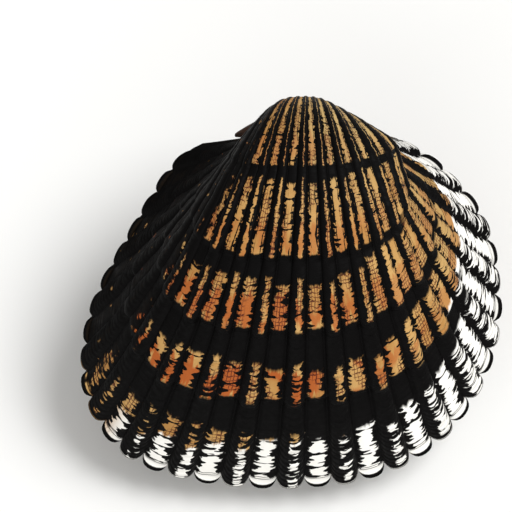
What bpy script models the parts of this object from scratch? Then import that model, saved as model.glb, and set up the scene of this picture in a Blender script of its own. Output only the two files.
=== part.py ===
"""Cockle shell: two hollow ribbed valves, closed, lying on one side, and the ligament behind the beaks.

Each valve follows the rule a growing shell follows. Its margin turns about the hinge line and shrinks
by the same share for every degree of turn, back to the beak. All sizes are in metres, +Z is up.
"""
import math

import bmesh
import bpy
import numpy as np
from mathutils import Matrix, Vector

MM = 0.001

# The margin of a valve seen square on, in mm from the middle of the hinge line, over the rib tops.
# It goes from the left end of the hinge line round the lower edge to the right end. It is read off
# the photo at 421 pixels for 60 mm.
MARGIN = (
    (-15.0, -1.6), (-18.7, -3.7), (-22.4, -8.8), (-26.2, -15.2), (-29.8, -21.9), (-32.1, -29.0),
    (-31.9, -37.2), (-27.6, -44.7), (-20.8, -48.6), (-12.5, -50.3), (-1.6, -50.7), (7.0, -49.7),
    (15.0, -46.8), (21.2, -41.8), (25.6, -34.4), (27.4, -27.0), (27.1, -18.4), (24.6, -11.2),
    (20.2, -5.7), (14.7, -1.7), (11.0, -0.4),
)
SPLINE_STEPS = 24            # points between two margin points

# Growth: how fast the margin shrinks as it turns back to the beak, and where the beak closes.
SHRINK = 0.83                # per radian
NOSE_START = 2.35            # radians, from here the beak rounds off
NOSE_END = 3.02              # radians, the tip

# Ribs: the same number as in the photo, evenly spread along the margin.
RIBS = 19
RIB_HEIGHT = 1.25 * MM
RIB_FOOT = 0.52              # share of the rib spacing
RIB_TOP = 0.32
RIB_FADE = 0.05              # share of the margin over which ribs die out at the hinge

# Growth steps: turn of the old edge, of the foot under it and of the end of the hollow, in radians,
# then how far the old edge stands out and how far the foot sinks in, as shares of the size there.
STEPS = (
    (0.285, 0.250, 0.160, 0.012, 0.014),
    (0.525, 0.485, 0.405, 0.012, 0.014),
    (0.815, 0.775, 0.710, 0.011, 0.012),
    (1.290, 1.245, 1.160, 0.010, 0.010),
)
STEP_REACH = 0.25            # how far back the standing edge swells, as a share of its turn
# More rows of points between the steps.
TURNS = (0.0, 0.08, 0.345, 0.61, 0.98, 1.56, 1.85, 2.13, 2.41, 2.68, 2.88)

# Inside: a smooth cup, shrunk from the margin about the middle of the valve.
WALL = 2.2 * MM
CUP_CENTRE = Vector((-2.0 * MM, -25.5 * MM))
CUP_RADIUS = 26.0 * MM
CUP_TURNS = (0.0, 0.32, 0.68, 1.06, 1.46, 1.86)
CUP_END = 2.08               # radians

TIP = Vector((0.0 * MM, -1.0 * MM))      # point of the margin plane that the beak closes on

# Right shoulder: the young shell is wider on its right slope than the margin curve makes it.
SHOULDER = 0.42              # most widening, as a share of the distance from the middle
SHOULDER_TURNS = (0.7, 1.5)  # radians over which it grows towards the beak
SHOULDER_SHARES = (0.62, 0.84, 0.90, 1.0)    # shares of the margin: starts, full, full, ends

GAP = 0.3 * MM               # between the two valves, and between valves and ligament
HINGE_POINTS = 3             # points along the hinge line between its ends

# Ligament: centre line and radius at its ends and between them, in mm from the middle of the hinge.
LIGAMENT = (
    (-3.0, 0.95, 0.30), (-3.8, 0.95, 0.70), (-5.2, 0.95, 0.95), (-6.8, 0.75, 1.05), (-8.2, 0.30, 0.85),
    (-9.4, -0.15, 0.60), (-10.2, -0.40, 0.30),
)
LIGAMENT_SIDES = 14

SHELL_COLOURS = ((0.55, 0.36, 0.16, 1.0), (0.50, 0.32, 0.14, 1.0))
SHELL_ROUGHNESS = 0.5
LIGAMENT_COLOUR = (0.05, 0.025, 0.012, 1.0)
LIGAMENT_ROUGHNESS = 0.55
CREASE_ANGLE = math.radians(28.0)        # edges sharper than this are shown as edges
MERGE = 0.0001 * MM                      # points this close become one

# Rest: the closed shell lies on the rounded side of the lower valve, where it balances.
REST_TURN_X = 26.75          # degrees about the left-right line
REST_TURN_Y = 0.82           # degrees about the line to the beak


def smooth(low, high, value):
    part = min(max((value - low) / (high - low), 0.0), 1.0)
    return part * part * (3.0 - 2.0 * part)


def margin_curve():
    """Points along the margin at even distance and their outward directions."""
    ends = (2.0 * np.array(MARGIN[0]) - MARGIN[1], 2.0 * np.array(MARGIN[-1]) - MARGIN[-2])
    knots = np.vstack((ends[0], np.array(MARGIN), ends[1])) * MM
    share = np.linspace(0.0, 1.0, SPLINE_STEPS, endpoint=False)[:, None]
    pieces = []
    for a, b, c, d in zip(knots, knots[1:], knots[2:], knots[3:]):
        bend = 2.0 * a - 5.0 * b + 4.0 * c - d
        pieces.append(0.5 * (2.0 * b + (c - a) * share + bend * share ** 2
                             + (3.0 * (b - c) + d - a) * share ** 3))
    points = np.vstack(pieces + [knots[-2]])
    run = np.concatenate(([0.0], np.cumsum(np.linalg.norm(np.diff(points, axis=0), axis=1))))
    even = np.linspace(0.0, run[-1], len(run))
    points = np.column_stack([np.interp(even, run, points[:, k]) for k in (0, 1)])
    along = np.gradient(points, axis=0)
    along /= np.linalg.norm(along, axis=1)[:, None]
    return points, np.column_stack((along[:, 1], -along[:, 0]))


CURVE, OUTWARD = margin_curve()
CURVE_SHARE = np.linspace(0.0, 1.0, len(CURVE))


def margin_at(share):
    point = Vector([np.interp(share, CURVE_SHARE, CURVE[:, k]) for k in (0, 1)])
    outward = Vector([np.interp(share, CURVE_SHARE, OUTWARD[:, k]) for k in (0, 1)])
    return point, outward.normalized()


def margin_loop(first_rib):
    """Closed loop of (rib top level point, floor level point, share) around one valve's margin."""
    columns = [(0.0, 0.0)]
    centre = first_rib
    while centre < RIBS:
        for offset, height in ((-RIB_FOOT, 0.0), (-RIB_TOP, 1.0), (RIB_TOP, 1.0), (RIB_FOOT, 0.0)):
            columns.append(((centre + 0.5 * offset) / RIBS, height))
        centre += 1.0
    columns.append((1.0, 0.0))
    loop = []
    for share, height in columns:
        point, outward = margin_at(share)
        fade = smooth(0.0, RIB_FADE, share) * smooth(0.0, RIB_FADE, 1.0 - share)
        floor = point - outward * RIB_HEIGHT * fade
        loop.append((floor.lerp(point, height), floor, share))
    start, end = loop[-1][0], loop[0][0]
    for k in range(HINGE_POINTS):
        point = start.lerp(end, (k + 1) / (HINGE_POINTS + 1))
        loop.append((point, point, 1.0))
    return loop


def size_at(turn):
    """Size of the valve at this turn as a share of its size at the margin."""
    size = math.exp(-SHRINK * turn)
    for old, foot, end, stand, sink in STEPS:
        if turn >= old:
            size *= 1.0 + stand * math.exp(-(turn - old) / (STEP_REACH * old))
        elif turn >= foot:
            size *= 1.0 + stand + (stand + sink) * (turn - old) / (old - foot)
        elif turn >= end:
            size *= 1.0 - sink * (turn - end) / (foot - end)
    return size


def nose_at(turn):
    """How much of the size is left where the beak rounds off."""
    done = min(max((turn - NOSE_START) / (NOSE_END - NOSE_START), 0.0), 1.0)
    return math.sqrt(1.0 - done * done)


def shoulder_at(share, turn):
    """Widening of the valve at this share of the margin and this turn, as a factor."""
    start, full, still_full, end = SHOULDER_SHARES
    part = smooth(*SHOULDER_TURNS, turn) * smooth(start, full, share)
    return 1.0 + SHOULDER * part * (1.0 - smooth(still_full, end, share))


def turned(point, turn, size, wide=1.0):
    """A margin point carried round the hinge line by this turn."""
    return Vector((point.x * size * wide, point.y * math.cos(turn) * size,
                   -point.y * math.sin(turn) * size))


def rows_of(loop):
    """All rows of one valve, from the pole inside the cup over the rim to the tip of the beak."""
    pole = turned(CUP_CENTRE, CUP_END, math.exp(-SHRINK * CUP_END))
    rows = [[pole] * len(loop)]
    for turn in reversed(CUP_TURNS):
        size = math.exp(-SHRINK * turn)
        inward = WALL / (CUP_RADIUS * size)
        rows.append([turned(floor.lerp(CUP_CENTRE, inward), turn, size, shoulder_at(share, turn))
                     for top, floor, share in loop])
    turns = sorted(TURNS + tuple(turn for step in STEPS for turn in step[:3])) + [NOSE_END]
    for turn in turns:
        size, left = size_at(turn), nose_at(turn)
        rows.append([turned(TIP.lerp(top, left), turn, size, shoulder_at(share, turn))
                     for top, floor, share in loop])
    return rows


def solid_from_rows(name, rows, colour, roughness):
    """One closed skin through rows of equally many points; each row closes on itself."""
    bm = bmesh.new()
    columns, last = len(rows[0]), len(rows) - 1
    bmesh.ops.create_grid(bm, x_segments=columns, y_segments=last, size=1.0)
    for vert in bm.verts:
        column = round((vert.co.x + 1.0) * 0.5 * columns)
        row = round((vert.co.y + 1.0) * 0.5 * last)
        vert.co = rows[row][column % columns]
    bmesh.ops.remove_doubles(bm, verts=bm.verts, dist=MERGE)
    bmesh.ops.recalc_face_normals(bm, faces=bm.faces)
    bmesh.ops.triangulate(bm, faces=[face for face in bm.faces if len(face.verts) > 3])
    mesh = bpy.data.meshes.new(name)
    bm.to_mesh(mesh)
    bm.free()
    mesh.shade_smooth()
    mesh.set_sharp_from_angle(angle=CREASE_ANGLE)
    part = bpy.data.objects.new(name, mesh)
    bpy.context.scene.collection.objects.link(part)
    material = bpy.data.materials.new(name)
    material.use_nodes = True
    shader = material.node_tree.nodes["Principled BSDF"]
    shader.inputs["Base Color"].default_value = colour
    shader.inputs["Roughness"].default_value = roughness
    mesh.materials.append(material)
    return part


def valve(name, side, first_rib, colour):
    """One valve; first_rib is how far the first rib is from the hinge end, in rib spacings."""
    rows = rows_of(margin_loop(first_rib))
    lift = 0.5 * GAP
    rows = [[Vector((p.x, p.y, side * (p.z + lift))) for p in row] for row in rows]
    return solid_from_rows(name, rows, colour, SHELL_ROUGHNESS)


def ligament(name):
    rows = []
    ends = (LIGAMENT[0], LIGAMENT[-1])
    for x, y, radius in (ends[0][:2] + (0.0,),) + LIGAMENT + (ends[1][:2] + (0.0,),):
        centre = Vector((x, y, 0.0)) * MM
        ring = []
        for k in range(LIGAMENT_SIDES):
            angle = 2.0 * math.pi * k / LIGAMENT_SIDES
            ring.append(centre + Vector((0.0, math.cos(angle), math.sin(angle))) * radius * MM)
        rows.append(ring)
    return solid_from_rows(name, rows, LIGAMENT_COLOUR, LIGAMENT_ROUGHNESS)


def build():
    for old in list(bpy.data.objects):
        bpy.data.objects.remove(old, do_unlink=True)
    parts = [
        valve("upper_valve", 1.0, 0.5, SHELL_COLOURS[0]),
        valve("lower_valve", -1.0, 1.0, SHELL_COLOURS[1]),
        ligament("ligament"),
    ]
    rest = Matrix.Rotation(math.radians(REST_TURN_Y), 4, "Y") @ Matrix.Rotation(
        math.radians(REST_TURN_X), 4, "X")
    for part in parts:
        part.data.transform(rest)
    points = np.array([vert.co for part in parts for vert in part.data.vertices])
    low, high = points.min(axis=0), points.max(axis=0)
    middle = Vector((0.5 * (low[0] + high[0]), 0.5 * (low[1] + high[1]), low[2]))
    for part in parts:
        part.data.transform(Matrix.Translation(-middle))
        part.data.update()


build()
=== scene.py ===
"""Looks of the closed cockle shell: two scaly ribbed valves and the ligament behind the beaks.

Lengths are in metres. A valve is first grown in its own frame: the hinge line lies along X through the
origin, the margin lies in the XY plane below it (-Y), and the upper valve swells towards +Z. Then it is
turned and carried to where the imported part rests. A turn is an angle round the hinge line, in radians
from the margin back towards the beak, and so also an age. A share runs along the margin, from 0 at its
left end to 1 at its right end.
"""
import math
from functools import partialmethod
from types import SimpleNamespace

import bmesh
import bpy
import numpy as np
from mathutils import Matrix, Vector


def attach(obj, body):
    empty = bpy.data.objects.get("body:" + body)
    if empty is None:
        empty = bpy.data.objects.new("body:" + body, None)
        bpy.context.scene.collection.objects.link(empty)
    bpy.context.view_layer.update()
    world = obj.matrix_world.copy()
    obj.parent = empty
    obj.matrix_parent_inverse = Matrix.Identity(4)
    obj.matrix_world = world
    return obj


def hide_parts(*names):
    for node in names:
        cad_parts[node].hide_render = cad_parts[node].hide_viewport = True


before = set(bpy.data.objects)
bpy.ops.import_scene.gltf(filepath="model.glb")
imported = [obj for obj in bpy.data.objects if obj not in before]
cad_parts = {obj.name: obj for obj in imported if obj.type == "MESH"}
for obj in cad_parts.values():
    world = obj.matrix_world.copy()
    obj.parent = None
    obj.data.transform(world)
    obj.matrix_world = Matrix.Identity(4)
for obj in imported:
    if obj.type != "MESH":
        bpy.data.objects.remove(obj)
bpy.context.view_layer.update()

MM = 0.001

# Growth of a valve, the same rule and values as in the part's source.
MARGIN = (
    (-15.0, -1.6), (-18.7, -3.7), (-22.4, -8.8), (-26.2, -15.2), (-29.8, -21.9), (-32.1, -29.0),
    (-31.9, -37.2), (-27.6, -44.7), (-20.8, -48.6), (-12.5, -50.3), (-1.6, -50.7), (7.0, -49.7),
    (15.0, -46.8), (21.2, -41.8), (25.6, -34.4), (27.4, -27.0), (27.1, -18.4), (24.6, -11.2),
    (20.2, -5.7), (14.7, -1.7), (11.0, -0.4),
)
SPLINE_STEPS = 40
SHRINK = 0.83                # how fast size falls with the turn
NOSE_START = 2.35            # turns between which the beak closes to its tip
NOSE_END = 3.02
TIP = np.array((0.0, -1.0)) * MM
RIBS = 19
RIB_HEIGHT = 1.25 * MM
RIB_FADE = 0.05              # share over which the ribs start at each end of the margin
STEPS = (                    # growth steps: turns of the top, foot and end, then stand and sink
    (0.285, 0.250, 0.160, 0.012, 0.014),
    (0.525, 0.485, 0.405, 0.012, 0.014),
    (0.815, 0.775, 0.710, 0.011, 0.012),
    (1.290, 1.245, 1.160, 0.010, 0.010),
)
STEP_REACH = 0.25
WALL = 2.2 * MM
CUP_CENTRE = np.array((-2.0, -25.5)) * MM
CUP_RADIUS = 26.0 * MM
CUP_END = 2.08               # turn of the pole of the cup inside
CUP_LAST = CUP_END - 0.12    # turn of its last full row
CUP_ROWS = 12
SHOULDER = 0.42              # widening of the young shell's right slope
SHOULDER_TURNS = (0.7, 1.5)
SHOULDER_SHARES = (0.62, 0.84, 0.90, 1.0)
GROWN_RADIUS = 50.0 * MM     # hinge to lower margin
GROWTH_SPEED = GROWN_RADIUS * math.sqrt(1.0 + SHRINK ** 2)    # path for a radian of turn, at full size
GROWTH_PATH = GROWTH_SPEED / SHRINK                           # whole path, from the margin inwards

# Where the grown shell rests.
REST = Matrix.Rotation(math.radians(0.82), 3, "Y") @ Matrix.Rotation(math.radians(26.75), 3, "X")
HINGE_MIDDLE = Vector((2.620, 18.937, 27.885)) * MM

# Cross section of the ribs. A phase runs from -0.5 to 0.5 about the middle of a rib.
RIB_EDGE = 0.25              # half width of a rib
RIB_SIDES = 2.3              # powers that round its sides and its top
RIB_TOP = 0.66
FURROW_DEPTH = 0.18          # beside a rib, as a share of its height
FURROW_PLACE = 0.275
FURROW_WIDTH = 0.022
SPACE_CROWN = 0.15           # height of the floor between ribs
SPACE_HALF = 0.23
LOW_LEFT = 0.42              # how much lower the ribs are on the left slope, as a share
LOW_LEFT_SHARES = (0.24, 0.36)
LOW_RIGHT = 0.46             # and on the right slope
LOW_RIGHT_SHARES = (0.62, 0.86)
UNEVEN_RIBS = (0.94, 0.12)   # least height of a rib, and what chance adds
COLUMNS = (
    -0.5, -0.42, -0.35, -0.30, -0.275, -0.255, -0.235, -0.215, -0.185, -0.14, -0.07,
    0.0, 0.07, 0.14, 0.185, 0.215, 0.235, 0.255, 0.275, 0.30, 0.35, 0.42,
)
COLUMN_GAP = 0.004           # least distance of a column from the ends of the margin
HINGE_COLUMNS = 6
HINGE_SHARE = 0.01           # share beyond 1 that the hinge line takes in the maps

# Scales on the ribs and growth lines between them.
SCALE_PITCH = 0.98 * MM      # between scales along a rib
SCALE_ROWS = (0.03, 0.50, 0.90)
SCALES_AT_MOST = 100
SCALE_HEIGHT = 0.30 * MM
UNEVEN_SCALES = (0.45, 0.75)  # least height of a scale, and what chance adds
SCALE_SIDES = (0.16, 0.24)   # phases between which a scale ends
SCALE_SLOPE = 1.4            # power that hollows a scale's back
SCALE_BULGE = 0.45 * MM      # how far a scale's middle reaches past its ends
SCALE_STRAY = 0.36 * MM      # how far scales stray from even spacing
STRAY_SPACING = 3.0 * SCALE_PITCH
EVEN_RIM = 1.5 * MM          # run from the margin over which bulge and stray set in
EVEN_NOSE = 0.3              # turn before the nose over which they die out
WORN = 0.20                  # height left to scales by the beak
WORN_TURNS = (0.12, 0.95)
SPACE_LINES = 0.07 * MM      # height of growth lines between ribs
SKIN_DROP = 0.14 * MM        # smooth surface under scales and lines, below the plain rib
SWELLS = ((0.10 * MM, 21.0, 9.0), (0.07 * MM, 47.0, -14.0))   # height, waves with turn and with share
SWELLS_START = 0.05          # turn over which they set in
CLOSED_GAP = 0.06 * MM       # half the gap between the closed valves
NOSE_ROWS = 12
NOSE_RUN = 4.0               # mm of run for a radian of turn on the nose
INSIDE_AGE = -0.1
MERGED = 0.0002 * MM         # points nearer than this are one

# Ligament: centre line and radius, in mm from the middle of the hinge line.
LIGAMENT = (
    (-2.9, 0.95, 0.05), (-3.0, 0.95, 0.28), (-3.8, 0.95, 0.70), (-5.2, 0.95, 0.95), (-6.8, 0.75, 1.05),
    (-8.2, 0.30, 0.85), (-9.4, -0.15, 0.60), (-10.3, -0.43, 0.28), (-10.45, -0.48, 0.05),
)
LIGAMENT_STEPS = 7
LIGAMENT_SIDES = 40

# Camera and lights. Sun directions are in the valve's own frame: right, towards the beak, up.
PHOTO_SIZE = 512
PHOTO_LEFT, PHOTO_RIGHT = 80.0, 501.0        # the shell's edges in the photo, pixels
PHOTO_HINGE = (308.0, 132.0)                 # middle of the hinge line in the photo, pixels
SHELL_LENGTH = 60.0 * MM
LENS = 500.0
SENSOR = 36.0
SUNS = (                                     # name, where from, strength, spread in degrees
    ("key", Vector((0.52, 0.42, 0.75)), 2.3, 35.0),
    ("fill", Vector((-0.25, -0.72, 0.65)), 1.15, 70.0),
)
SKY_COLOUR = (1.0, 0.99, 0.97, 1.0)
SKY_STRENGTH = 0.50
FLOOR_RADIUS = 3.0
FLOOR_COLOUR = (0.86, 0.86, 0.85, 1.0)


def linear(red, green, blue):
    """A colour read off the photo, 0 to 255, as the shader wants it."""
    parts = [c / 255.0 for c in (red, green, blue)]
    return [c / 12.92 if c <= 0.04045 else ((c + 0.055) / 1.055) ** 2.4 for c in parts] + [1.0]


TAN = linear(193, 152, 93)
DEEP_TAN = linear(175, 128, 71)
OLIVE_TAN = linear(188, 158, 103)
ORANGE = linear(169, 85, 37)
# Painted highlight on the top of the scales of the ribs.
HIGHLIGHT_TAN = linear(222, 186, 126)
IVORY = linear(248, 246, 240)
# Black of the growth bands and splitting lines, and of the painted shade in the furrows, under the
# scales, where the valves meet and over the left slope.
BLACK_BANDS_AND_SHADE = linear(5, 4, 4)
PLUM_BROWN = linear(74, 28, 24)
INSIDE_WHITE = linear(244, 240, 232)
INSIDE_CREAM = linear(231, 222, 206)
HORN_BROWN = linear(54, 32, 19)
HORN_DARK = linear(15, 10, 8)

STROKES_PER_SCALE = 1.4

# Growth rests: old edge, width, width on the right, share where it thins, share where it ends, then
# length and strength of the orange glow. Edges, widths and lengths are turns.
RESTS = (
    (0.283, 0.122, 0.070, 0.64, 0.79, 0.120, 1.0),
    (0.522, 0.126, 0.065, 0.60, 0.88, 0.158, 0.85),
    (0.808, 0.104, 0.050, 0.54, 0.74, 0.190, 0.50),
    (1.278, 0.095, 0.070, 0.55, 0.86, 0.330, 0.70),
)


def ease(low, high, value):
    """Smooth step from 0 at low to 1 at high."""
    part = np.clip((value - low) / (high - low), 0.0, 1.0)
    return part * part * (3.0 - 2.0 * part)


def smooth_line(points, steps):
    """A smooth line through the points, with this many steps between two of them."""
    knots = np.vstack((2.0 * points[0] - points[1], points, 2.0 * points[-1] - points[-2]))
    share = np.linspace(0.0, 1.0, steps, endpoint=False)[:, None]
    pieces = []
    for a, b, c, d in zip(knots, knots[1:], knots[2:], knots[3:]):
        bend = 2.0 * a - 5.0 * b + 4.0 * c - d
        pieces.append(0.5 * (2.0 * b + (c - a) * share + bend * share ** 2
                             + (3.0 * (b - c) + d - a) * share ** 3))
    return np.vstack(pieces + [knots[-2]])


def margin_curve():
    """Points at even distance along the margin, and their outward directions."""
    line = smooth_line(np.array(MARGIN) * MM, SPLINE_STEPS)
    run = np.concatenate(([0.0], np.cumsum(np.linalg.norm(np.diff(line, axis=0), axis=1))))
    even = np.linspace(0.0, run[-1], len(run))
    line = np.column_stack([np.interp(even, run, line[:, k]) for k in (0, 1)])
    along = np.gradient(line, axis=0)
    along /= np.linalg.norm(along, axis=1)[:, None]
    return line, np.column_stack((along[:, 1], -along[:, 0]))


def step_size(turn):
    """Swelling and sinking of the growth steps, as a factor on the size."""
    size = np.ones_like(turn)
    for old, foot, end, stand, sink in STEPS:
        swell = 1.0 + stand * np.exp(-(turn - old) / (STEP_REACH * old))
        drop = 1.0 + stand + (stand + sink) * (turn - old) / (old - foot)
        rise = 1.0 - sink * (turn - end) / (foot - end)
        younger = np.where(turn >= foot, drop, np.where(turn >= end, rise, 1.0))
        size *= np.where(turn >= old, swell, younger)
    return size


def turn_at(run):
    """Turn reached after this run along the growth path from the margin."""
    return -np.log(1.0 - run / GROWTH_PATH) / SHRINK


def shoulder(shares, turn):
    """Widening of the valve, as a factor on the distance from its middle."""
    start, full, still_full, end = SHOULDER_SHARES
    part = ease(start, full, shares) * (1.0 - ease(still_full, end, shares))
    return 1.0 + SHOULDER * part * ease(*SHOULDER_TURNS, turn)


def carried(plane, turn, size, wide=1.0):
    """Points of the margin plane carried round the hinge line."""
    return np.stack((plane[..., 0] * size * wide, plane[..., 1] * np.cos(turn) * size,
                     -plane[..., 1] * np.sin(turn) * size), axis=-1)


def rib_form(phase):
    """Height of the cross section at this phase: 1 on a rib, about 0 between ribs."""
    away = np.abs(phase)
    rib = np.clip(1.0 - (away / RIB_EDGE) ** RIB_SIDES, 0.0, 1.0) ** RIB_TOP
    furrow = -FURROW_DEPTH * np.exp(-((away - FURROW_PLACE) / FURROW_WIDTH) ** 2)
    floor = SPACE_CROWN * np.clip(1.0 - ((0.5 - away) / SPACE_HALF) ** 2, 0.0, 1.0)
    return rib + furrow + floor


def valve_columns(first_rib):
    """Shares along the margin of all columns, and the phase within their rib."""
    places = sorted({round(k + first_rib + p, 6) for k in range(-1, RIBS + 1) for p in COLUMNS})
    places = [q for q in places if COLUMN_GAP < q < RIBS - COLUMN_GAP]
    places = np.array([0.0] + places + [float(RIBS)])
    phase = (places - first_rib + 0.5) % 1.0 - 0.5
    return places / RIBS, phase


def margin_loop(first_rib):
    """Shares, phases, fullness of the ribs, points and outward directions, along margin and hinge."""
    line, outward = margin_curve()
    shares, phase = valve_columns(first_rib)
    spread = np.linspace(0.0, 1.0, len(line))
    plane = np.column_stack([np.interp(shares, spread, line[:, k]) for k in (0, 1)])
    out = np.column_stack([np.interp(shares, spread, outward[:, k]) for k in (0, 1)])
    fade = ease(0.0, RIB_FADE, shares) * ease(0.0, RIB_FADE, 1.0 - shares)
    back = np.linspace(0.0, 1.0, HINGE_COLUMNS + 1)[1:, None]
    return (np.concatenate((shares, 1.0 + HINGE_SHARE * back[:, 0])),
            np.concatenate((phase, np.full(HINGE_COLUMNS, 0.5))),
            np.concatenate((fade, np.zeros(HINGE_COLUMNS))),
            np.vstack((plane, plane[-1] + (plane[0] - plane[-1]) * back)),
            np.vstack((out, np.zeros((HINGE_COLUMNS, 2)))))


def valve_rows():
    """Turn and run from the margin of all rows up to the beak."""
    last = GROWTH_PATH * (1.0 - math.exp(-SHRINK * NOSE_START))
    runs = [0.0]
    for scale in range(int(last / SCALE_PITCH)):
        runs += [(scale + part) * SCALE_PITCH for part in SCALE_ROWS]
    runs = np.array(runs)
    turns = turn_at(runs)
    nose = NOSE_END - (NOSE_END - turns[-1]) * np.cos(np.linspace(0.0, math.pi / 2.0, NOSE_ROWS)[1:])
    nose_runs = last + (nose - NOSE_START) * NOSE_RUN * MM
    return np.concatenate((turns, nose)), np.concatenate((runs, nose_runs))


def fine_relief(shares, phase, fade, turns, runs, first_rib, seed):
    """Height over the margin's plain line, and how far scales reach towards the margin, as a turn."""
    rng = np.random.default_rng(seed)
    scale_chance = rng.random((RIBS + 2, SCALES_AT_MOST))
    rib_chance = rng.random(RIBS + 2)
    knots = np.arange(0.0, runs[-1] + 4.0 * SCALE_PITCH, STRAY_SPACING)
    stray = np.array([np.interp(runs, knots, rng.uniform(-1.0, 1.0, len(knots)))
                      for rib in range(RIBS + 2)])
    rib_number = np.clip(np.floor(shares * RIBS - first_rib + 0.5).astype(int) + 1, 0, RIBS + 1)
    scale_number = np.clip((runs / SCALE_PITCH).astype(int), 0, SCALES_AT_MOST - 1)

    away = np.abs(phase)
    on_rib = 1.0 - ease(*SCALE_SIDES, away)
    wear = WORN + (1.0 - WORN) * (1.0 - ease(*WORN_TURNS, turns))
    place = runs / SCALE_PITCH - np.floor(runs / SCALE_PITCH)
    lip = np.clip(1.0 - place, 0.0, 1.0) ** SCALE_SLOPE
    lip[0] = 0.0
    least, more = UNEVEN_SCALES
    scales = lip[:, None] * wear[:, None] * on_rib[None, :]
    scales = scales * (least + more * scale_chance[rib_number][:, scale_number].T)
    lines = (lip * wear)[:, None] * (1.0 - on_rib)[None, :]
    lines = lines * scale_chance[::-1][rib_number][:, scale_number].T

    low_ribs = 1.0 - LOW_LEFT * (1.0 - ease(*LOW_LEFT_SHARES, shares))
    low_ribs = low_ribs - LOW_RIGHT * ease(*LOW_RIGHT_SHARES, shares)
    least, more = UNEVEN_RIBS
    height = -(1.0 - rib_form(phase)) * RIB_HEIGHT * fade
    height = height * (least + more * rib_chance[rib_number]) * low_ribs
    relief = height[None, :] + (scales * SCALE_HEIGHT + lines * SPACE_LINES) * fade[None, :]
    swell = sum(high * np.sin(turns[:, None] * with_turn + shares[None, :] * with_share)
                for high, with_turn, with_share in SWELLS)
    relief = relief + (swell * ease(0.0, SWELLS_START, turns)[:, None] - SKIN_DROP) * fade[None, :]

    bulge = SCALE_BULGE * np.clip(1.0 - (away / RIB_EDGE) ** 2, 0.0, 1.0) * fade
    stray = stray[rib_number].T * SCALE_STRAY * (on_rib * fade)[None, :]
    ramp = np.clip(runs / EVEN_RIM, 0.0, 1.0) * np.clip((NOSE_START - turns) / EVEN_NOSE, 0.0, 1.0)
    path = GROWTH_SPEED * np.exp(-SHRINK * turns)[:, None]
    return relief, (bulge[None, :] + stray) * ramp[:, None] / path


def inside_cup(base, shares):
    """Rows of the smooth cup inside a valve, from its pole to the margin."""
    turns = np.linspace(CUP_LAST, 0.0, CUP_ROWS)[:, None]
    size = np.exp(-SHRINK * turns)
    inward = np.clip(WALL / (CUP_RADIUS * size), 0.0, 1.0)[:, :, None]
    cup = carried(base + (CUP_CENTRE - base) * inward, turns, size, shoulder(shares, turns))
    pole = carried(np.broadcast_to(CUP_CENTRE, (1, len(shares), 2)), np.full((1, 1), CUP_END),
                   np.full((1, 1), math.exp(-SHRINK * CUP_END)))
    return np.concatenate((pole, cup))


def valve_surface(side, first_rib, seed):
    """Grid of points of one valve, inside pole to beak tip, its two maps, and its rows inside."""
    shares, phase, fade, plane, out = margin_loop(first_rib)
    turns, runs = valve_rows()
    relief, shift = fine_relief(shares, phase, fade, turns, runs, first_rib, seed)
    turn_grid = turns[:, None] - shift
    size_grid = np.exp(-SHRINK * turn_grid) * step_size(turn_grid)
    done = np.clip((turns - NOSE_START) / (NOSE_END - NOSE_START), 0.0, 1.0)
    left = np.sqrt(1.0 - done ** 2)[:, None, None]
    flat = TIP + (plane[None, :, :] + out[None, :, :] * relief[:, :, None] - TIP) * left
    outer = carried(flat, turn_grid, size_grid, shoulder(shares, turn_grid))
    inner = inside_cup(plane + out * (-RIB_HEIGHT * fade)[:, None], shares)

    points = np.concatenate((inner, outer))
    points[..., 2] = side * (points[..., 2] + CLOSED_GAP)
    age = np.vstack((np.full((len(inner), len(shares)), INSIDE_AGE), turn_grid))
    scale_map = np.concatenate((np.zeros(len(inner)), runs / SCALE_PITCH))[:, None]
    rib_map = shares * RIBS - first_rib + 0.5
    return points, (("ribs", rib_map, scale_map), ("age", shares, age)), len(inner)


def values_of(items, key, kind, width=1):
    """One value, or as many as width says, of every item of a mesh."""
    values = np.empty(len(items) * width, kind)
    items.foreach_get(key, values)
    return values


def linked_object(name, mesh):
    thing = bpy.data.objects.new(name, mesh)
    bpy.context.scene.collection.objects.link(thing)
    return thing


def skin_object(name, points, maps, inner_rows):
    """A closed skin over a grid of points; maps are (name, first values, second values) over the grid."""
    rows, columns = points.shape[0] - 1, points.shape[1] - 1
    bm = bmesh.new()
    bmesh.ops.create_grid(bm, x_segments=columns, y_segments=rows, size=1.0)
    mesh = bpy.data.meshes.new(name)
    bm.to_mesh(mesh)
    bm.free()
    flat = values_of(mesh.vertices, "co", float, 3).reshape(-1, 3)
    column = np.rint((flat[:, 0] + 1.0) * 0.5 * columns).astype(int)
    row = np.rint((flat[:, 1] + 1.0) * 0.5 * rows).astype(int)
    mesh.vertices.foreach_set("co", points[row, column].ravel())
    corner = values_of(mesh.loops, "vertex_index", int)
    for map_name, first_values, second_values in maps:
        grids = [np.broadcast_to(values, points.shape[:2]) for values in (first_values, second_values)]
        pairs = np.column_stack([grid[row, column] for grid in grids])
        mesh.uv_layers.new(name=map_name).uv.foreach_set("vector", pairs[corner].ravel())
    first = values_of(mesh.polygons, "loop_start", int)
    inside = row[corner[first]] < inner_rows - 1
    mesh.polygons.foreach_set("material_index", inside.astype(int))
    bm = bmesh.new()
    bm.from_mesh(mesh)
    bmesh.ops.remove_doubles(bm, verts=bm.verts, dist=MERGED)
    bmesh.ops.recalc_face_normals(bm, faces=bm.faces)
    bm.to_mesh(mesh)
    bm.free()
    mesh.shade_smooth()
    return linked_object(name, mesh)


def to_rest(thing):
    """The mesh carried from the valve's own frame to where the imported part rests."""
    thing.data.transform(Matrix.Translation(HINGE_MIDDLE) @ REST.to_4x4())
    return thing


def grown_valve(name, side, first_rib, seed):
    return to_rest(skin_object(name, *valve_surface(side, first_rib, seed)))


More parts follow.
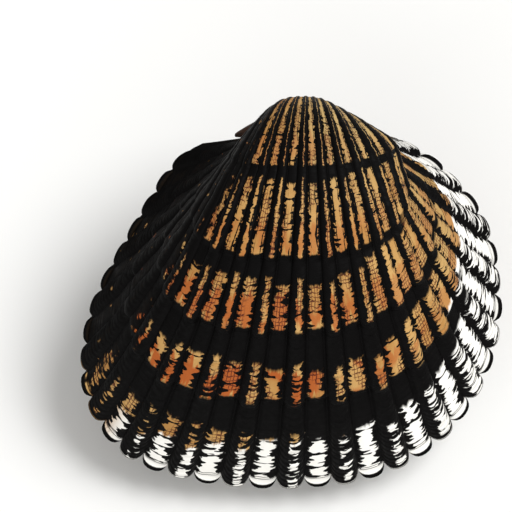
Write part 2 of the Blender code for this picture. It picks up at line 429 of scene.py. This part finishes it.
def ligament_piece():
    """A short spindle of rings, drawn out from a small circle."""
    path = smooth_line(np.array(LIGAMENT) * MM, LIGAMENT_STEPS)
    first_x, first_y, first_radius = path[0]
    bm = bmesh.new()
    ring = bmesh.ops.create_circle(bm, cap_ends=False, segments=LIGAMENT_SIDES, radius=1.0)["verts"]
    turn = Matrix.Rotation(math.pi / 2.0, 4, "Y")
    bmesh.ops.transform(bm, matrix=Matrix.Translation((first_x, first_y, 0.0)) @ turn
                        @ Matrix.Diagonal((first_radius, first_radius, 1.0, 1.0)), verts=ring)
    bmesh.ops.contextual_create(bm, geom=ring)
    edges = list(bm.edges)
    for here, there in zip(path, path[1:]):
        made = bmesh.ops.extrude_edge_only(bm, edges=edges)["geom"]
        verts = [g for g in made if isinstance(g, bmesh.types.BMVert)]
        edges = [g for g in made if isinstance(g, bmesh.types.BMEdge)]
        to_middle = Matrix.Translation((-here[0], -here[1], 0.0))
        onward = Matrix.Translation((there[0], there[1], 0.0))
        move = onward @ Matrix.Scale(there[2] / here[2], 4) @ to_middle
        bmesh.ops.transform(bm, matrix=move, verts=verts)
    bmesh.ops.contextual_create(bm, geom=edges)
    bmesh.ops.recalc_face_normals(bm, faces=bm.faces)
    mesh = bpy.data.meshes.new("ligament_band")
    bm.to_mesh(mesh)
    bm.free()
    mesh.shade_smooth()
    return to_rest(linked_object("ligament_band", mesh))


def new_group(name, place, numbers, results):
    """A node group that takes numbers, and a vector called place if there is one, and gives numbers."""
    group = bpy.data.node_groups.new(name, "ShaderNodeTree")
    if place:
        group.interface.new_socket(place, in_out="INPUT", socket_type="NodeSocketVector")
    for label in numbers:
        group.interface.new_socket(label, in_out="INPUT", socket_type="NodeSocketFloat")
    for label in results:
        group.interface.new_socket(label, in_out="OUTPUT", socket_type="NodeSocketFloat")
    return group, group.nodes.new("NodeGroupInput").outputs, group.nodes.new("NodeGroupOutput").inputs


class Wiring:
    """Short words for placing and joining nodes in one tree."""

    def __init__(self, tree):
        self.tree = tree

    def node(self, kind, **settings):
        node = self.tree.nodes.new(kind)
        for key, value in settings.items():
            setattr(node, key, value)
        return node

    def feed(self, socket, value):
        if isinstance(value, bpy.types.NodeSocket):
            self.tree.links.new(value, socket)
        else:
            socket.default_value = value

    def number(self, operation, *values):
        node = self.node("ShaderNodeMath", operation=operation)
        for socket, value in zip(node.inputs, values):
            self.feed(socket, value)
        return node.outputs[0]

    plus = partialmethod(number, "ADD")
    minus = partialmethod(number, "SUBTRACT")
    times = partialmethod(number, "MULTIPLY")
    times_plus = partialmethod(number, "MULTIPLY_ADD")
    over = partialmethod(number, "DIVIDE")
    most = partialmethod(number, "MAXIMUM")
    absolute = partialmethod(number, "ABSOLUTE")
    floor = partialmethod(number, "FLOOR")
    fract = partialmethod(number, "FRACT")
    pingpong = partialmethod(number, "PINGPONG")

    def ramp(self, value, low, high, to_low=0.0, to_high=1.0):
        """Smooth step from to_low at low to to_high at high."""
        node = self.node("ShaderNodeMapRange", interpolation_type="SMOOTHSTEP")
        for label, number in (("Value", value), ("From Min", low), ("From Max", high),
                              ("To Min", to_low), ("To Max", to_high)):
            self.feed(node.inputs[label], number)
        return node.outputs["Result"]

    def above(self, value, limit, soft):
        """1 where the value is over the limit, else 0, with a soft change."""
        return self.ramp(self.minus(value, limit), -soft, soft)

    def below(self, value, limit, soft):
        return self.ramp(self.minus(value, limit), -soft, soft, 1.0, 0.0)

    def sway(self, noise, amount, value):
        """The value, moved by up to half the amount either way as the noise goes."""
        return self.times_plus(self.minus(noise, 0.5), amount, value)

    def mix(self, factor, a, b):
        node = self.node("ShaderNodeMix", data_type="RGBA")
        self.feed(node.inputs[0], factor)
        self.feed(node.inputs[6], a)
        self.feed(node.inputs[7], b)
        return node.outputs[2]

    def streaks(self, across, along, across_scale, along_scale, detail, roughness=0.5):
        """Noise over the two coordinates of the ribs, each with its own scale."""
        node = self.node("ShaderNodeTexNoise")
        where = self.join(self.times(across, across_scale), self.times(along, along_scale))
        for label, value in (("Vector", where), ("Scale", 1.0), ("Detail", detail),
                             ("Roughness", roughness)):
            self.feed(node.inputs[label], value)
        return node.outputs["Fac"]

    def split(self, vector):
        node = self.node("ShaderNodeSeparateXYZ")
        self.feed(node.inputs[0], vector)
        return node.outputs

    def join(self, x, y, z=0.0):
        node = self.node("ShaderNodeCombineXYZ")
        for socket, value in zip(node.inputs, (x, y, z)):
            self.feed(socket, value)
        return node.outputs[0]

    def group(self, tree, **values):
        """A node group with its values; an underscore in a label stands for a space."""
        node = self.node("ShaderNodeGroup", node_tree=tree)
        for label, value in values.items():
            self.feed(node.inputs[label.replace("_", " ")], value)
        return node.outputs

    def grain(self, size, stretch=1.0):
        where = self.node("ShaderNodeTexCoord").outputs["Object"]
        return self.group(FINE_GRAIN, Vector=where, Size=size, Stretch=stretch)

    def bump(self, shader, height, strength, distance):
        node = self.node("ShaderNodeBump")
        node.inputs["Strength"].default_value = strength
        node.inputs["Distance"].default_value = distance
        self.feed(node.inputs["Height"], height)
        self.feed(shader.inputs["Normal"], node.outputs[0])


def rib_marks_group():
    """Where a point lies on its rib: painted shade in the furrows beside it, painted shadow in strokes
    under its scales, and a painted highlight on the top of each scale.
    """
    group, given, result = new_group(
        "Rib marks", "Ribs",
        ("Left Furrow", "Right Furrow", "Stroke Width", "Stroke Reach", "Blots", "Frayed", "Splits"),
        ("Furrow", "Strokes", "Hairlines", "Crest"))
    w = Wiring(group)
    across, along, _ = w.split(given["Ribs"])
    phase = w.minus(w.fract(across), 0.5)
    lines = w.times(along, STROKES_PER_SCALE)
    ragged = w.streaks(across, along, 8.0, 0.3, 2.0)
    tooth = w.streaks(across, along, 3.0, 1.15, 3.0, 0.65)
    bent = w.streaks(across, along, 6.0, 1.1, 2.0)
    on_rib = w.ramp(w.absolute(phase), 0.22, 0.26, 1.0, 0.0)

    # Furrows of painted shade, each from the foot of the rib inwards.
    wavy = w.sway(tooth, given["Frayed"], w.sway(ragged, 0.13, phase))
    left_end = w.plus(given["Left Furrow"], -0.30)
    left = w.times(w.ramp(wavy, -0.325, -0.295), w.below(wavy, left_end, 0.012))
    right_end = w.minus(0.31, given["Right Furrow"])
    right = w.times(w.ramp(wavy, 0.30, 0.325, 1.0, 0.0), w.above(wavy, right_end, 0.012))

    # Strokes of painted shadow under the scales, wide at the furrow and running out as far as chance
    # takes them.
    chance = w.node("ShaderNodeTexWhiteNoise", noise_dimensions="2D")
    w.feed(chance.inputs["Vector"], w.join(w.floor(across), w.floor(lines)))
    first_chance, second_chance, third_chance = w.split(chance.outputs["Color"])
    width = w.times(given["Stroke Width"], w.times_plus(first_chance, 1.9, -0.3))
    reach = w.times(w.times_plus(second_chance, 0.9, 0.25), given["Stroke Reach"])
    from_left = w.minus(w.times_plus(reach, 0.56, -0.26), phase)
    reach_back = w.times(w.times(third_chance, third_chance), given["Stroke Reach"])
    from_right = w.minus(phase, w.times_plus(reach_back, -0.56, 0.30))
    taper = w.times(w.most(from_left, from_right), on_rib)
    half = w.times(w.times(width, 0.5), w.ramp(taper, -0.01, 0.26))
    off_line = w.absolute(w.minus(w.sway(bent, 1.1, w.fract(lines)), 0.5))
    strokes = w.times(w.below(off_line, half, 0.06), w.ramp(taper, 0.0, 0.02))

    # Wavy blots of painted shade, most of them against the furrows.
    blot = w.streaks(across, along, 2.7, 1.35, 1.2)
    middle = w.pingpong(w.plus(across, 0.25), 0.25)    # 0 at the foot of a rib, 0.25 farthest from it
    cut = w.minus(w.ramp(middle, 0.06, 0.20, 0.52, 0.68), given["Blots"])
    strokes = w.most(strokes, w.above(blot, cut, 0.012))

    # Patches of hairlines, lengthwise and across.
    patch = w.streaks(across, along, 1.7, 0.13, 1.0)
    bent_across = w.times_plus(tooth, 0.06, w.times_plus(ragged, 0.10, across))
    long_line = w.times_plus(bent, 0.014, w.pingpong(bent_across, 0.042))
    long_line = w.ramp(long_line, 0.013, 0.020, 1.0, 0.0)
    cross_line = w.times_plus(tooth, 0.16, w.pingpong(w.times_plus(bent, 1.1, along), 0.34))
    cross_line = w.ramp(cross_line, 0.13, 0.19, 1.0, 0.0)
    hairlines = w.times(w.most(long_line, cross_line), w.ramp(patch, 0.45, 0.52))

    # Thin lengthwise lines that split the strips of the young shell.
    split_noise = w.streaks(across, along, 2.0, 0.22, 2.0)
    drift = w.sway(split_noise, 0.30, across)
    off_split = w.absolute(w.minus(w.fract(w.times(drift, 4.0)), 0.5))
    split_width = w.sway(tooth, 0.30, w.ramp(split_noise, 0.40, 0.62, 0.01, 0.13))
    splits = w.times(w.below(off_split, split_width, 0.02), given["Splits"])

    w.feed(result["Furrow"], w.most(w.most(left, right), splits))
    w.feed(result["Strokes"], strokes)
    w.feed(result["Hairlines"], hairlines)
    # Crest: a painted highlight on the top of each scale.
    w.feed(result["Crest"], w.times(on_rib, w.ramp(w.fract(along), 0.02, 0.5, 1.0, 0.0)))
    return group


def growth_rest_group():
    """A dark band where growth rested, thin to the right, and the orange glow beside its old edge."""
    group, given, result = new_group(
        "Growth rest", None,
        ("Age", "Share", "Ragged", "Cell End", "Old Edge", "Width", "Right Width", "Thin From",
         "Ends At", "Glow Length"),
        ("Band", "Glow"))
    w = Wiring(group)
    ragged = given["Ragged"]
    wide = w.ramp(w.minus(given["Share"], given["Thin From"]), -0.02, 0.14, 1.0, 0.0)
    width = w.times_plus(w.minus(given["Width"], given["Right Width"]), wide, given["Right Width"])
    depth = w.minus(given["Old Edge"], given["Age"])
    starts = w.ramp(w.times_plus(ragged, 0.03, depth), -0.008, 0.004)
    past_end = w.plus(w.times_plus(ragged, 0.045, w.minus(depth, width)), given["Cell End"])
    ends = w.ramp(past_end, -0.008, 0.008, 1.0, 0.0)
    stops = w.below(given["Share"], given["Ends At"], 0.02)
    w.feed(result["Band"], w.times(w.times(starts, ends), stops))

    older = w.over(w.times(depth, -1.0), given["Glow Length"])
    starts = w.ramp(w.times_plus(ragged, -1.4, older), -0.06, 0.08)
    ends = w.ramp(w.times_plus(ragged, 1.4, older), 0.68, 0.80, 1.0, 0.0)
    w.feed(result["Glow"], w.times(starts, ends))
    return group


def grain_group():
    """Fine chalky grain and pores of old shell or horn."""
    group, given, result = new_group("Fine grain", "Vector", ("Size", "Stretch"), ("Grain", "Blotch"))
    w = Wiring(group)
    x, y, z = w.split(given["Vector"])
    where = w.join(x, w.times(y, given["Stretch"]), w.times(z, given["Stretch"]))
    coarse = w.times(given["Size"], 0.12)
    for label, size, detail in (("Grain", given["Size"], 4.0), ("Blotch", coarse, 3.0)):
        noise = w.node("ShaderNodeTexNoise")
        w.feed(noise.inputs["Vector"], where)
        w.feed(noise.inputs["Scale"], size)
        noise.inputs["Detail"].default_value = detail
        w.feed(result[label], noise.outputs["Fac"])
    return group


RIB_MARKS = rib_marks_group()
GROWTH_REST = growth_rest_group()
FINE_GRAIN = grain_group()


def new_material(name):
    material = bpy.data.materials.new(name)
    material.use_nodes = True
    return material, Wiring(material.node_tree), material.node_tree.nodes["Principled BSDF"]


def spot_on_valve(w):
    """Where a point of the outside lies: rib, place along it, share and age."""
    ribs = w.node("ShaderNodeUVMap", uv_map="ribs").outputs[0]
    across, along, _ = w.split(ribs)
    share, age, _ = w.split(w.node("ShaderNodeUVMap", uv_map="age").outputs[0])
    streak = w.streaks(across, along, 7.0, 0.12, 3.0)
    ragged = w.times(w.minus(streak, 0.5), w.ramp(share, 0.58, 0.78, 1.0, 0.3))
    return SimpleNamespace(ribs=ribs, across=across, along=along, share=share, age=age,
                           umbo=w.ramp(age, 0.9, 1.4), ragged=ragged)


def rib_marks(w, at):
    """Furrows and strokes of painted shade, wider and denser on the shaded left slope, at the right
    shoulder and by the beak, and thinner on the lit right slope; and hairlines.
    """
    old = w.ramp(at.age, 0.25, 0.60)
    left_flank = w.ramp(at.share, 0.26, 0.40, 1.0, 0.0)
    corner = w.times(w.ramp(at.share, 0.80, 0.87), w.ramp(at.age, 0.26, 0.45))
    right_flank = w.times(w.ramp(at.share, 0.61, 0.71), w.ramp(at.age, 0.60, 0.85, 1.0, 0.0))
    right_flank = w.times(right_flank, w.minus(1.0, corner))
    full = w.minus(1.0, right_flank)
    crowding = w.most(w.times(corner, 1.3), w.times(at.umbo, 0.45))
    furrows = []
    for with_age, young_width, on_flank, on_left in ((0.010, 0.130, 0.12, 0.06),
                                                     (0.035, 0.107, 0.055, 0.05)):
        furrow = w.times_plus(w.times_plus(old, with_age, young_width), full, on_flank)
        furrow = w.times_plus(left_flank, on_left, furrow)
        furrows.append(w.times_plus(crowding, 0.13, furrow))
    stroke_width = w.times_plus(left_flank, 0.30, w.ramp(at.age, 0.12, 0.5, 0.80, 0.36))
    stroke_width = w.times_plus(right_flank, -0.14, stroke_width)
    blots = w.times_plus(left_flank, 0.05, w.ramp(at.age, 0.15, 0.45, 0.095, 0.018))
    clear_rim = w.times(right_flank, w.ramp(at.age, 0.25, 0.40, 1.0, 0.0))
    blots = w.times_plus(clear_rim, -0.045, blots)
    return w.group(RIB_MARKS, Ribs=at.ribs, Left_Furrow=furrows[0], Right_Furrow=furrows[1],
                   Stroke_Width=stroke_width, Stroke_Reach=w.ramp(at.age, 0.15, 0.5, 1.10, 0.62),
                   Blots=blots, Frayed=w.ramp(at.age, 0.2, 0.9, 0.36, 0.26),
                   Splits=w.ramp(at.age, 0.55, 0.85))


def bands_and_glow(w, at):
    """All growth rests: their dark bands and their orange glow."""
    cell = w.node("ShaderNodeTexWhiteNoise", noise_dimensions="1D")
    w.feed(cell.inputs["W"], w.floor(w.times_plus(at.across, 2.0, 0.5)))
    cell_end = w.times_plus(cell.outputs["Value"], 0.05, -0.025)
    band = glow = 0.0
    for edge, wide, thin, thin_from, ends_at, reach, strength in RESTS:
        rest = w.group(GROWTH_REST, Age=at.age, Share=at.share, Ragged=at.ragged, Cell_End=cell_end,
                       Old_Edge=edge, Width=wide, Right_Width=thin, Thin_From=thin_from,
                       Ends_At=ends_at, Glow_Length=reach)
        band = w.most(rest["Band"], band)
        glow = w.most(w.times(rest["Glow"], strength), glow)
    return band, glow


def tan_and_orange(w, at, glow, blotch):
    """The tan ground, olive by the beak and on the right, with patches of orange; and how orange."""
    colour = w.mix(w.ramp(blotch, 0.38, 0.62), TAN, DEEP_TAN)
    olive = w.most(at.umbo, w.ramp(at.share, 0.70, 0.82, 0.0, 0.6))
    colour = w.mix(w.times(olive, w.ramp(at.share, 0.40, 0.60)), colour, OLIVE_TAN)
    patch = w.times_plus(at.ragged, 0.25, w.streaks(at.across, at.along, 0.9, 0.14, 2.0))
    warm = w.times(glow, w.ramp(patch, 0.35, 0.46))
    warm = w.times(warm, w.ramp(at.share, 0.50, 0.74, 0.95, 0.35))
    colour = w.mix(w.times(warm, w.ramp(at.umbo, 0.0, 1.0, 1.0, 0.55)), colour, ORANGE)
    return colour, warm


def pale_margin(w, at):
    """Where the outside is white: a strip along the margin, wider to the right."""
    edge = w.times_plus(w.ramp(at.share, 0.62, 0.76), 0.13, w.ramp(at.share, 0.28, 0.60, 0.070, 0.175))
    pale = w.times_plus(at.ragged, 0.07, w.minus(at.age, edge))
    pale = w.times(w.ramp(pale, -0.008, 0.008, 1.0, 0.0), w.ramp(at.share, 0.295, 0.325))
    return w.times(pale, w.ramp(at.share, 0.985, 0.999, 1.0, 0.0))


def left_slope_shade(w, at, left_shade):
    """Painted shade, black over the left slope, with a few flecks left in it."""
    edge = w.times_plus(at.umbo, 0.030, w.ramp(at.age, 0.70, 0.85, 0.286, 0.314))
    edge = w.times_plus(w.ramp(at.age, 0.10, 0.20, 1.0, 0.0), -0.026, edge)
    fleck = w.streaks(at.across, at.along, 4.0, 0.55, 1.0)
    slope_shade = w.times_plus(at.ragged, 0.07, w.sway(fleck, 0.15, w.minus(at.share, edge)))
    slope_shade = w.ramp(slope_shade, -0.008, 0.008, 1.0, 0.0)
    return w.times(slope_shade, w.ramp(fleck, 0.68, 0.72, left_shade, 0.1))


def shell_material(name, left_shade):
    """Outside of a valve; the second value says how dark the painted shade over the left slope is."""
    material, w, shader = new_material(name)
    at = spot_on_valve(w)
    grain = w.grain(1400.0)
    marks = rib_marks(w, at)
    band, glow = bands_and_glow(w, at)
    pale = pale_margin(w, at)
    colour, warm = tan_and_orange(w, at, glow, grain["Blotch"])
    colour = w.mix(pale, colour, IVORY)
    hair = w.times(marks["Hairlines"], w.minus(1.0, pale))
    colour = w.mix(w.times(hair, 0.9), colour, PLUM_BROWN)
    # Painted highlight: a paler top on each scale, fainter towards the beak and on orange.
    crest = w.times(marks["Crest"], w.ramp(at.age, 0.2, 0.9, 0.30, 0.12))
    colour = w.mix(w.times(crest, w.minus(1.0, warm)), colour, w.mix(pale, HIGHLIGHT_TAN, IVORY))

    # All that is black: the growth bands and thin splitting lines, and painted shade in the furrows,
    # under the scales and over the left slope, with painted shadow where the valves meet, as a line on
    # the rim itself and one just above it.
    near_edge = w.times_plus(at.ragged, 0.4, at.along)
    edge_shadow = w.times(w.ramp(near_edge, 0.36, 0.42), w.ramp(near_edge, 0.50, 0.56, 0.85, 0.0))
    dark = w.most(w.most(marks["Furrow"], marks["Strokes"]), w.most(band, edge_shadow))
    dark = w.times(dark, w.ramp(at.along, 0.12, 0.22, 0.0, 1.0))
    rim_shadow = w.times(w.ramp(at.age, -0.010, -0.006), w.ramp(at.along, 0.08, 0.14, 1.0, 0.0))
    dark = w.most(w.most(dark, rim_shadow), left_slope_shade(w, at, left_shade))
    w.feed(shader.inputs["Base Color"], w.mix(dark, colour, BLACK_BANDS_AND_SHADE))
    w.feed(shader.inputs["Roughness"], w.ramp(grain["Grain"], 0.3, 0.7, 0.50, 0.66))
    shader.inputs["Specular IOR Level"].default_value = 0.06
    growth_line = w.streaks(at.across, at.along, 0.7, 3.0, 3.0)
    w.bump(shader, w.plus(w.times(grain["Grain"], 0.6), growth_line), 0.35, 0.12 * MM)
    return material


def inside_material():
    """Smooth white inside of the valves, faintly clouded."""
    material, w, shader = new_material("shell_inside")
    grain = w.grain(500.0)
    cloud = w.ramp(grain["Blotch"], 0.4, 0.6)
    w.feed(shader.inputs["Base Color"], w.mix(cloud, INSIDE_WHITE, INSIDE_CREAM))
    w.feed(shader.inputs["Roughness"], w.ramp(grain["Grain"], 0.3, 0.7, 0.22, 0.34))
    return material


def ligament_material():
    """Dark brown horn with lengthwise cracks."""
    material, w, shader = new_material("ligament_horn")
    grain = w.grain(420.0, 6.0)
    crack = w.ramp(grain["Grain"], 0.50, 0.60)
    w.feed(shader.inputs["Base Color"], w.mix(crack, HORN_BROWN, HORN_DARK))
    w.feed(shader.inputs["Roughness"], w.ramp(grain["Blotch"], 0.3, 0.7, 0.42, 0.60))
    shader.inputs["Specular IOR Level"].default_value = 0.2
    w.bump(shader, grain["Grain"], 0.9, 0.25 * MM)
    return material


upper = grown_valve("upper_shell", 1.0, 0.5, 11)
lower = grown_valve("lower_shell", -1.0, 1.0, 23)
inside = inside_material()
for valve, node, outside in ((upper, "upper_valve", shell_material("shell_upper_outside", 0.996)),
                             (lower, "lower_valve", shell_material("shell_lower_outside", 0.988))):
    valve.data.materials.append(outside)
    valve.data.materials.append(inside)
    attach(valve, "root")
    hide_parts(node)

band = ligament_piece()
band.data.materials.append(ligament_material())
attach(band, "root")
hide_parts("ligament")


def pale_floor():
    bm = bmesh.new()
    bmesh.ops.create_circle(bm, cap_ends=True, segments=96, radius=FLOOR_RADIUS)
    mesh = bpy.data.meshes.new("floor")
    bm.to_mesh(mesh)
    bm.free()
    material, _, shader = new_material("floor_pale")
    shader.inputs["Base Color"].default_value = FLOOR_COLOUR
    shader.inputs["Roughness"].default_value = 0.9
    mesh.materials.append(material)
    floor = linked_object("floor", mesh)


def studio_light():
    """Soft even light from all round, and two wide suns."""
    world = bpy.data.worlds.new("studio")
    world.use_nodes = True
    sky = world.node_tree.nodes["Background"].inputs
    sky["Color"].default_value = SKY_COLOUR
    sky["Strength"].default_value = SKY_STRENGTH
    bpy.context.scene.world = world
    bpy.context.scene.view_settings.view_transform = "Standard"
    for name, direction, strength, spread in SUNS:
        light = bpy.data.lights.new(name, "SUN")
        light.energy = strength
        light.angle = math.radians(spread)
        lamp = linked_object(name, light)
        lamp.rotation_mode = "QUATERNION"
        lamp.rotation_quaternion = (REST @ direction).to_track_quat("Z", "Y")


def photo_camera():
    """Square onto the plane between the valves, so the shell stands in the frame as in the photo."""
    pixel = SHELL_LENGTH / (PHOTO_RIGHT - PHOTO_LEFT)
    middle = Vector(((0.5 * PHOTO_SIZE - PHOTO_HINGE[0]) * pixel,
                     (PHOTO_HINGE[1] - 0.5 * PHOTO_SIZE) * pixel, 0.0))
    away = PHOTO_SIZE * pixel * LENS / SENSOR
    data = bpy.data.cameras.new("camera")
    data.lens = LENS
    data.sensor_width = SENSOR
    data.clip_start = 0.01
    data.clip_end = 10.0
    camera = linked_object("camera", data)
    place = HINGE_MIDDLE + REST @ (middle + Vector((0.0, 0.0, away)))
    camera.matrix_world = Matrix.Translation(place) @ REST.to_4x4()
    bpy.context.scene.camera = camera


pale_floor()
studio_light()
photo_camera()
